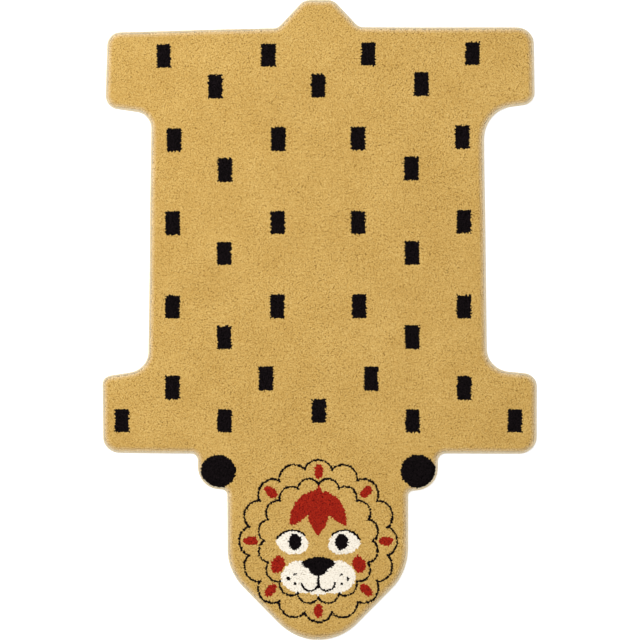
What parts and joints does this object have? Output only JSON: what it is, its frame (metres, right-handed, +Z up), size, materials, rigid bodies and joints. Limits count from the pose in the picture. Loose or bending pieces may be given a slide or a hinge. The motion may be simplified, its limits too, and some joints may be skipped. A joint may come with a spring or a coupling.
{
  "type": "lion shaped kids rug",
  "caption": "Flat lion-hide shaped rug with short cut pile, overlocked edge, dash markings and a tufted lion face, to lie on a floor.",
  "frame": {"origin": "middle of the rug's outline box, on the floor it lies on", "axes": "+Z up out of the pile, +Y from the chin towards the tail, +X to the right with the tail at the top"},
  "size_m": [1.1535, 1.6986, 0.013],
  "materials": {
    "pile_yarn": "matt cut pile of gold, black, cream and rust yarn",
    "edge_yarn": "matt pale beige overlock yarn"
  },
  "bodies": {
    "root": {"hide_pile": "pile_yarn", "overlocked_edge": "edge_yarn"}
  },
  "joints": []
}
